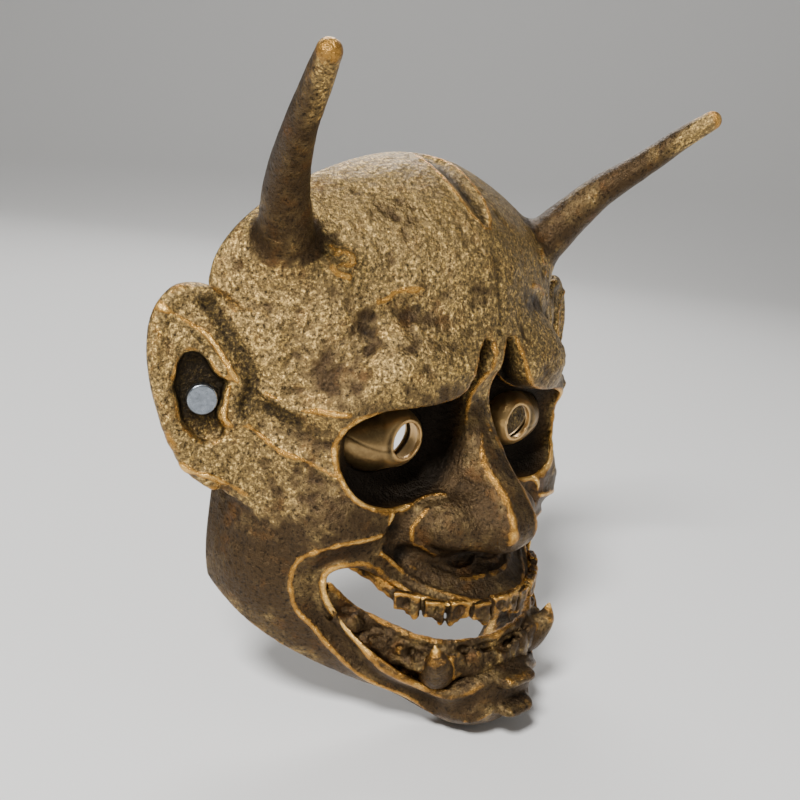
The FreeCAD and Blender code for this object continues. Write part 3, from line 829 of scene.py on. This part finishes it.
def add_casting(step):
    """The shell and the two horns, cut from one clay form."""
    clay, solid, closed = model_mask(step)
    share = np.full(clay.value.shape, CLEAR_OF_ALL, np.float32)
    _, low, high = horn_bar()
    place, grid = clay.part(low - 8, high + 8)
    share[place] = horn_share(*grid)
    run, off = along_horn(*clay.grid())
    screw_room = np.maximum(off - SCREW_ROOM, np.abs(run) - SCREW_REACH)
    surface = clay.holding(solid)
    made = []
    for value, sides in ((np.maximum(clay.value, -share), "both"), (np.maximum(clay.value, share), "left")):
        points, faces, normals = mesh_from(clay, np.maximum(value, -screw_room), sides)
        beside = close_seam(clay, points, normals)
        fine, broad = wear_of(surface, points)
        # How far a point lies below the closed form; the material darkens it, partly as patina and partly as
        # painted shade.
        depth = np.clip(-clay.holding(closed).sample(points), 0, 30)
        # Painted shade in the ear's hollow and in the crease beside it: no rubbed gold there, and the shade
        # is laid into the depth.
        shade = ear_shade(points)
        fine -= np.minimum(shade, 1) * np.maximum(fine, 0)
        depth = np.maximum(depth, shade)
        rough = roughness_of(points)
        front = np.clip(-(points[:, 1] + 3) / 3, 0, 1) * np.clip(1.5 - depth, 0, 1)
        points, height = cast_texture(points, normals, front * rough)
        # Rubbed edges, depth darkened as patina and painted shade, the cast skin, and painted light on the
        # forehead, temples and ears.
        wear_light_and_shade = {"fine": fine, "broad": broad, "depth": depth, "skin": height, "open": lit_side_and_calm_crown(points)}
        made.append((points, faces, wear_light_and_shade, (beside, normals[beside])))
    return [add_look("mask_shell", *made[0]), *add_pair("horn", *made[1])]


# ---- teeth and fangs

UPPER_TIPS = [
    (0, -74, -61.5), (9.5, -72.5, -62), (18, -70, -61.8), (26, -65.8, -60.6),
    (33, -60, -59.8), (38, -54.5, -58), (42, -47.5, -53.5), (49, -41, -48),
]
LOWER_TIPS = [
    (0, -73, -70), (12, -72, -69.3), (23.6, -68, -69), (31, -62.8, -67.3),
    (38, -54, -64.7), (44, -44.5, -61), (50, -40.5, -56), (56, -39, -50),
]
FANG_LINE = [(23, -66, -83), (27.5, -70, -78), (31, -72, -73), (32.7, -71.8, -67.3)]
FANG_RADII = (5.4, 5.2, 3.7, 0.8)
FANG_ROOT = ball((25.8, -68, -79.5), (6.3, 5.0, 5.8), 2.8)


def spaced(line, gap):
    """Points at equal gaps along a smooth line, and the level inward direction at each."""
    curve = smooth_line(line, 8)
    run = run_along(curve)
    stops = np.arange(gap / 2, run[-1], gap)
    places = np.column_stack([np.interp(stops, run, curve[:, i]) for i in range(3)])
    ahead = np.gradient(places, axis=0)
    inward = np.column_stack([-ahead[:, 1], ahead[:, 0], np.zeros(len(places))])
    return places, inward / np.linalg.norm(inward, axis=1, keepdims=True)


def tooth_plate(clay, tips, side, steps, radius):
    """A standing plate behind a lip, level with the teeth's tips. The side is 1 where the teeth point up."""
    places, inward = spaced(tips, 3.0)
    places = np.vstack([places[0] * [0, 1, 1], places])
    inward = np.vstack([[0, 1, 0], inward])
    for drop in steps:
        clay.add(bar(places + (0.4 + 0.12 * drop) * inward - [0, 0, side * (drop + radius)], radius), 1.5)


def upper_teeth(clay):
    """Broad uneven teeth under the upper lip, parted by notches, and a plain edge towards the corner."""
    tooth_plate(clay, UPPER_TIPS, -1, (2.4, 4.2), 1.2)
    places, inward = spaced(UPPER_TIPS[:6], 0.5)
    for run, half, drop, lean in (
        (3.6, 3.1, 0.6, 1.0), (11.6, 3.9, -0.3, -1.0), (20.6, 3.8, 0.5, 1.0),
        (29.6, 3.9, -0.5, -1.0), (39.5, 4.6, 0.2, -1.0),
    ):
        index = min(int(2 * run), len(places) - 1)
        along = np.array([-inward[index][1], inward[index][0], 0])
        middle = places[index] - 0.5 * inward[index] + [0, 0, drop]
        clay.add(block(middle + [0, 0, 4.4], along, (half, 1.8, 3.2), 0.7), 0.6)
        longer = middle - lean * 0.45 * half * along + [0, 0, 3]
        clay.add(block(longer, along, (0.5 * half, 1.6, 3.2), 0.9), 1.0)
        clay.add(ball(middle - lean * (half - 1.2) * along - [0, 0, 0.2], (1.5, 1.5, 2)), 1.2)
        clay.cut(ball(middle - 1.9 * inward[index] + [0, 0, 4.6], (1.6, 0.9, 1.5)), 0.8)


def lower_teeth(clay):
    """A smooth plate with a row of small uneven teeth on its outside, lower than the plate's edge."""
    tooth_plate(clay, LOWER_TIPS, 1, (0, 3, 6, 9, 12, 15), 1.4)
    random = np.random.default_rng(8)
    crown = np.array(LOWER_TIPS) + [[0, -3.0, -4.8]]
    places, inward = spaced(crown, 1.0)
    run = 1.5
    while run < 68:
        index = min(int(run), len(places) - 1)
        front = run < 20
        size = random.uniform(0.6, 1.35, 3) * ((1.7, 1.7, 3.4) if front else (3.0, 1.9, 2.6))
        centre = places[index] - 0.5 * inward[index] - [0, 0, size[2] * random.uniform(0.4, 1.6)]
        clay.add(ball(centre, size, random.uniform(1.8, 4.5)), 2.4)
        run += random.uniform(3.0, 4.6) if front else random.uniform(4.2, 8)
    gum, inward = spaced(crown, 3.0)
    uneven = np.column_stack([np.zeros((len(gum), 2)), random.uniform(-1.2, 1.2, len(gum))])
    clay.add(bar(gum + uneven - [0, -0.4, 6.5], 2.2), 3)


def finish_clay(clay, sides="both"):
    points, faces, normals = mesh_from(clay, clay.value, sides)
    fine, broad = wear_of(clay, points)
    wear_light_and_shade = {"fine": fine, "broad": broad}
    for key in ("depth", "skin", "open"):
        wear_light_and_shade[key] = np.zeros(len(points))
    return points, faces, normals, wear_light_and_shade


def add_teeth(step):
    made = []
    line = smooth_line(FANG_LINE, 5)
    fang_shape = bar(line, np.interp(np.linspace(0, 3, len(line)), range(4), FANG_RADII))
    rows = (("upper_teeth", upper_teeth, -1, -58.5), ("lower_teeth", lower_teeth, 1, -78))
    for name, model, side, root in rows:
        clay = Clay((0, -95, -104), (56, -30, -34), step)
        model(clay)
        if side > 0:
            clay.cut(fang_shape)
            clay.cut(FANG_ROOT)
        points, faces, normals, wear_light_and_shade = finish_clay(clay)
        # Painted shadow of the lip: each row darkens towards its root.
        wear_light_and_shade["depth"] = np.clip(side * (root - points[:, 2]) * 0.7, 0, 7)
        wear_light_and_shade["fine"] *= 0.8
        points, wear_light_and_shade["skin"] = cast_texture(points, normals, np.full(len(points), 1.0))
        made.append(add_look(name, points, faces, wear_light_and_shade))
    fang = Clay((14, -84, -94), (42, -56, -62), step)
    fang.add(fang_shape)
    fang.add(FANG_ROOT, 3)
    points, faces, _, wear_light_and_shade = finish_clay(fang, "left")
    return made + add_pair("fang", points, faces, wear_light_and_shade)


# ---- eyes


def add_eyes(step):
    """Thin domes with a pupil hole, a raised lip round it, and a flange behind the socket's floor."""
    clay = Clay((12, -50, -20), (60, -28, 18), step)
    x, y, z = clay.grid()
    skin, _, _ = ball(EYE_CENTRE, EYE_RADII)
    surface = skin(x, y, z)
    off = np.sqrt((x - PUPIL[0])**2 + (z - PUPIL[1])**2)
    level = np.clip((PUPIL_RADIUS + 5 - off) / 4, 0, 1)
    surface = surface * (1 - level) + (PUPIL_FACE - y) * level
    dome = soft_max(np.abs(surface) - 0.75, y - SOCKET_BACK, 0.3)
    flange = np.maximum(ball(EYE_CENTRE, FLANGE_RADII)[0](x, y, z), np.abs(y - SOCKET_BACK - 0.75) - 0.75)
    lip = np.sqrt((off - PUPIL_RADIUS - 0.4)**2 + surface**2) - 0.95
    seam = np.abs(z + 3.4 - 0.02 * (x - EYE_CENTRE[0])**2)
    clay.value = soft_min(soft_min(dome, flange, 0.6), lip, 0.8).astype(np.float32)
    clay.value += (0.18 * np.exp(-(seam / 0.35)**2) * (surface > -0.3)).astype(np.float32)
    clay.value = np.maximum(clay.value, PUPIL_RADIUS - off)
    clay.value = np.maximum(clay.value, -(skin(x, y, z) + EYE_CORE)).astype(np.float32)
    points, faces, _, wear_light_and_shade = finish_clay(clay, "left")
    return add_pair("eye", points, faces, wear_light_and_shade)


# ---- materials

# Blender's mix node has one set of sockets for each kind of data. These are the colour ones.
COLOUR_A, COLOUR_B, COLOUR_RESULT = 6, 7, 2


class Finish:
    """A procedural material on Principled BSDF, wired by short calls. Scales are in mm."""

    def __init__(self, name, metallic, roughness):
        self.material = bpy.data.materials.new(name)
        self.material.use_nodes = True
        self.tree = self.material.node_tree
        self.shader = self.tree.nodes["Principled BSDF"]
        self.set(self.shader, metallic=metallic, roughness=roughness)
        self.place = self.tree.nodes.new("ShaderNodeTexCoord").outputs["Object"]

    def feed(self, socket, value):
        """Links a socket, or sets it. A colour is given without its alpha."""
        if isinstance(value, bpy.types.NodeSocket):
            self.tree.links.new(value, socket)
        else:
            socket.default_value = (*value, 1) if socket.type == "RGBA" else value

    def set(self, node, **inputs):
        """Feeds a node's inputs, each named in lower case with _ for a space."""
        for name, value in inputs.items():
            self.feed(node.inputs[name.replace("_", " ").title()], value)

    def add(self, kind, **inputs):
        node = self.tree.nodes.new(f"ShaderNode{kind}")
        self.set(node, **inputs)
        return node

    def attribute(self, name):
        node = self.add("Attribute")
        node.attribute_name = name
        return node.outputs["Fac"]

    def stretched(self, scale, turn):
        return self.add("Mapping", rotation=turn, scale=scale, vector=self.place).outputs["Vector"]

    def noise(self, size, detail, rough, warp=0.0, place=None):
        shape = {"scale": 1 / (size * MM), "detail": detail, "roughness": rough, "distortion": warp}
        return self.add("TexNoise", **shape, vector=place or self.place).outputs["Fac"]

    def math(self, operation, a, b):
        node = self.add("Math")
        node.operation = operation
        self.feed(node.inputs[0], a)
        self.feed(node.inputs[1], b)
        return node.outputs[0]

    def times(self, a, b):
        return self.math("MULTIPLY", a, b)

    def fit(self, value, low, high, start=0.0, end=1.0):
        """The value's range from low to high, smoothed and drawn out to start and end."""
        node = self.add("MapRange", from_min=low, from_max=high, to_min=start, to_max=end, value=value)
        node.interpolation_type = "SMOOTHSTEP"
        return node.outputs["Result"]

    def mix(self, share, a, b):
        node = self.add("Mix")
        node.data_type = "RGBA"
        self.feed(node.inputs["Factor"], share)
        self.feed(node.inputs[COLOUR_A], a)
        self.feed(node.inputs[COLOUR_B], b)
        return node.outputs[COLOUR_RESULT]

    def bump(self, height, distance, before=None):
        node = self.add("Bump", distance=distance * MM, height=height)
        if before:
            self.set(node, normal=before)
        return node.outputs["Normal"]

    def cover(self, colour, gloss, relief):
        self.set(self.shader, base_color=colour, roughness=gloss, normal=relief)

    def onto(self, pieces, slot):
        for piece in pieces:
            piece.data.materials.clear()
            piece.data.materials.append(self.material)


DARK = (0.012, 0.009, 0.006)
UMBER = (0.070, 0.043, 0.020)
BRONZE = (0.24, 0.160, 0.064)
GOLD = (0.95, 0.62, 0.18)
EDGE_GOLD = (0.88, 0.54, 0.16)
AMBER = (0.46, 0.22, 0.038)
RUST = (0.20, 0.085, 0.022)
EYE_DULL = (0.045, 0.030, 0.014)
EYE_BRASS = (0.17, 0.12, 0.052)
EYE_RUBBED = (0.6, 0.38, 0.15)


def aged_bronze(name, tone=0.0, streaks=None):
    """Dark patina with painted light and shade: black in the hollows, partly patina and partly painted shade;
    speckled gold on the forehead, temples and ears, partly painted light and glints; amber where edges are
    rubbed.
    """
    finish = Finish(name, 0.9, 0.4)
    fine, broad, depth, skin, bright = map(finish.attribute, ("fine", "broad", "depth", "skin", "open"))
    fit, mix, times, noise = finish.fit, finish.mix, finish.times, finish.noise
    # Up to 1 the open attribute is painted light on the forehead, temples and ears; from 1 to 2 it marks the
    # calmer crown.
    calm = fit(bright, 1, 2)
    bright = finish.math("MINIMUM", bright, 1)
    cloud = noise(17, 3, 0.6, 0.4)
    blotch = noise(4.6, 5, 0.72, 0.3, streaks and finish.stretched(*streaks))
    speck = noise(1.25, 4, 0.78)
    level = times(cloud, 1.15)
    # The tone adds mottle, the cast skin's lumps, and painted light on the forehead, temples and ears.
    mottle_and_light = [times(part, share) for part, share in ((blotch, 1.1), (skin, 0.7), (bright, 0.66))]
    for part in (*mottle_and_light, fit(broad, -0.9, 0.9, -0.22, 0.22), tone - 0.46):
        level = finish.math("ADD", level, part)
    colour = mix(fit(level, 0.70, 1.36), UMBER, BRONZE)
    colour = mix(fit(noise(9, 3, 0.6), 0.52, 0.72, 0, 0.35), colour, RUST)
    # Gold flecks, partly the finish's own and partly painted glints, thickest where the tone, painted light
    # included, is lightest.
    gold_flecks_and_glints = times(fit(speck, 0.51, 0.64), fit(level, 0.96, 1.34))
    gold_flecks_and_glints = times(gold_flecks_and_glints, fit(calm, 0, 1, 1, 0.7))
    colour = mix(gold_flecks_and_glints, colour, GOLD)
    fleck = times(fit(speck, 0.49, 0.36, 0, 0.85), fit(calm, 0, 1, 1, 0.6))
    colour = mix(fleck, colour, DARK)
    # Darker in hollows: patina in crevices, and painted shade in the deep recesses, the ear's hollow and
    # crease, and under the lip.
    patina_and_shade = fit(depth, 1.0, 8.0, 0, 0.95)
    patina_and_shade = finish.math("MAXIMUM", patina_and_shade, fit(fine, -0.08, -0.42, 0, 0.92))
    patina_and_shade = finish.math("MAXIMUM", patina_and_shade, fit(broad, -0.5, -1.9, 0, 0.92))
    colour = mix(patina_and_shade, colour, DARK)
    edge = finish.math("ADD", fine, times(finish.math("SUBTRACT", blotch, 0.5), 0.9))
    rubbed = fit(edge, 0.26, 0.52)
    colour = mix(times(rubbed, 0.9), colour, AMBER)
    colour = mix(fit(edge, 0.46, 0.74, 0, 0.9), colour, EDGE_GOLD)
    relief = finish.bump(noise(2.4, 4, 0.72), 1.1, finish.bump(speck, 0.22))
    polish = finish.math("ADD", speck, rubbed)
    gloss = fit(polish, 0.35, 0.9, 0.44, 0.27)
    finish.cover(colour, gloss, relief)
    return finish


def eye_brass():
    """Smoother and yellower than the face, dull behind and bright on the lip round the pupil."""
    finish = Finish("eye brass", 0.9, 0.34)
    fine = finish.attribute("fine")
    haze = finish.noise(5, 4, 0.65, 0.4)
    colour = finish.mix(finish.fit(haze, 0.35, 0.68), EYE_DULL, EYE_BRASS)
    colour = finish.mix(finish.fit(finish.noise(0.8, 3, 0.7), 0.5, 0.66, 0, 0.6), colour, DARK)
    colour = finish.mix(finish.fit(fine, 0.30, 0.6), colour, EYE_RUBBED)
    relief = finish.bump(finish.noise(1.2, 3, 0.7), 0.06)
    gloss = finish.fit(haze, 0.3, 0.7, 0.42, 0.28)
    finish.cover(colour, gloss, relief)
    return finish


def turned_steel(name, tint, roughness, grime):
    finish = Finish(name, 1.0, roughness)
    haze = finish.noise(1.6, 3, 0.6)
    colour = finish.mix(finish.fit(haze, 0.3, 0.75), tint, tuple(0.72 * part for part in tint))
    colour = finish.mix(finish.fit(finish.noise(0.7, 3, 0.7), 0.56, 0.72, 0, grime), colour, DARK)
    gloss = finish.fit(haze, 0.3, 0.7, roughness - 0.05, roughness + 0.08)
    finish.cover(colour, gloss, finish.bump(finish.noise(0.5, 2, 0.6), 0.03))
    return finish


# ---- floor, light and camera


# The floor's sheet, in metres. It bends up behind the mask on a radius of one metre.
FLOOR_REACH = 9.0
BEND_START = 1.4
BACKDROP_TOP = 7.0


def plain_floor():
    """A pale sheet that lies under the mask and curves up behind it."""
    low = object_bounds()[0][2] - 0.0005
    bend = [(BEND_START + math.sin(turn), 1 - math.cos(turn)) for turn in np.linspace(0, math.pi / 2, 24)]
    profile = [(-FLOOR_REACH, 0), *bend, (BEND_START + 1, BACKDROP_TOP)]
    points = [(x, y, low + z) for y, z in profile for x in (-FLOOR_REACH, FLOOR_REACH)]
    faces = [(i, i + 1, i + 3, i + 2) for i in range(0, len(points) - 2, 2)]
    sheet = add_mesh("floor", np.array(points) / MM, faces)
    sheet.rotation_euler = (0, 0, math.atan2(-VIEW_FORWARD[0], VIEW_FORWARD[1]))
    finish = Finish("floor paper", 0.0, 0.9)
    finish.set(finish.shader, base_color=(0.78, 0.77, 0.75))
    sheet.data.materials.append(finish.material)


def soft_light(name, place, size, power):
    light = bpy.data.lights.new(name, "AREA")
    light.shape = "DISK"
    light.size = size
    light.energy = power
    lamp = bpy.data.objects.new(name, light)
    lamp.location = place
    lamp.rotation_euler = (Vector((0, -0.02, 0)) - Vector(place)).to_track_quat("-Z", "Y").to_euler()
    bpy.context.collection.objects.link(lamp)


def room(strength):
    world = bpy.data.worlds.new("room")
    bpy.context.scene.world = world
    world.use_nodes = True
    sky = world.node_tree.nodes["Background"]
    sky.inputs["Color"].default_value = (1, 1, 1, 1)
    sky.inputs["Strength"].default_value = strength


VIEW_PLACE = (-0.29365, -0.28799, 0.10486)
VIEW_RIGHT = Vector((0.70394, -0.70072, 0.11601))
VIEW_UP = Vector((0.09452, 0.25430, 0.96249))
VIEW_FORWARD = Vector((0.70394, 0.66657, -0.24525))
LENS = 47.9


def camera():
    data = bpy.data.cameras.new("camera")
    data.lens = LENS
    data.sensor_width = 36
    data.clip_start = 0.01
    view = bpy.data.objects.new("camera", data)
    turn = np.array([VIEW_RIGHT, VIEW_UP, -VIEW_FORWARD]).T
    rows = [(*row, place) for row, place in zip(turn.tolist(), VIEW_PLACE)]
    view.matrix_world = Matrix(rows + [(0, 0, 0, 1)])
    bpy.context.collection.objects.link(view)
    bpy.context.scene.camera = view


# The grid steps of the casting, the teeth and the eyes, in mm.
FULL_STEPS = (0.7, 0.45, 0.4)


def main():
    casting_step, tooth_step, eye_step = FULL_STEPS
    shell, *horns = add_casting(casting_step)
    teeth = add_teeth(tooth_step)
    eyes = add_eyes(eye_step)
    aged_bronze("cast bronze").onto([shell], "patina_bronze")
    aged_bronze("horn bronze", -0.1, ((1, 1, 0.3), (0.6, 0.5, 0))).onto(horns, "patina_bronze")
    aged_bronze("tooth bronze").onto(teeth, "tooth_bronze")
    eye_brass().onto(eyes, "eye_brass")
    rivets, links, screws = cad("ear_rivet", "rivet_burr"), cad("cord_link"), cad("horn_screw", "horn_washer")
    turned_steel("rivet steel", (0.27, 0.30, 0.34), 0.3, 0.45).onto(rivets, "rivet_steel")
    turned_steel("link steel", (0.30, 0.29, 0.28), 0.42, 0.6).onto(links, "link_steel")
    turned_steel("screw steel", (0.5, 0.5, 0.5), 0.32, 0.3).onto(screws, "steel")
    plain_floor()
    room(0.16)
    soft_light("key", (-1.0, -0.45, 1.20), 0.40, 46)
    soft_light("fill", (0.9, -1.2, 0.5), 0.9, 3)
    soft_light("rim", (0.7, 0.9, 0.9), 0.6, 10)
    camera()


def cad(*names):
    return [frame["nodes"][f"{name}_{side}"] for name in names for side in ("left", "right")]


main()
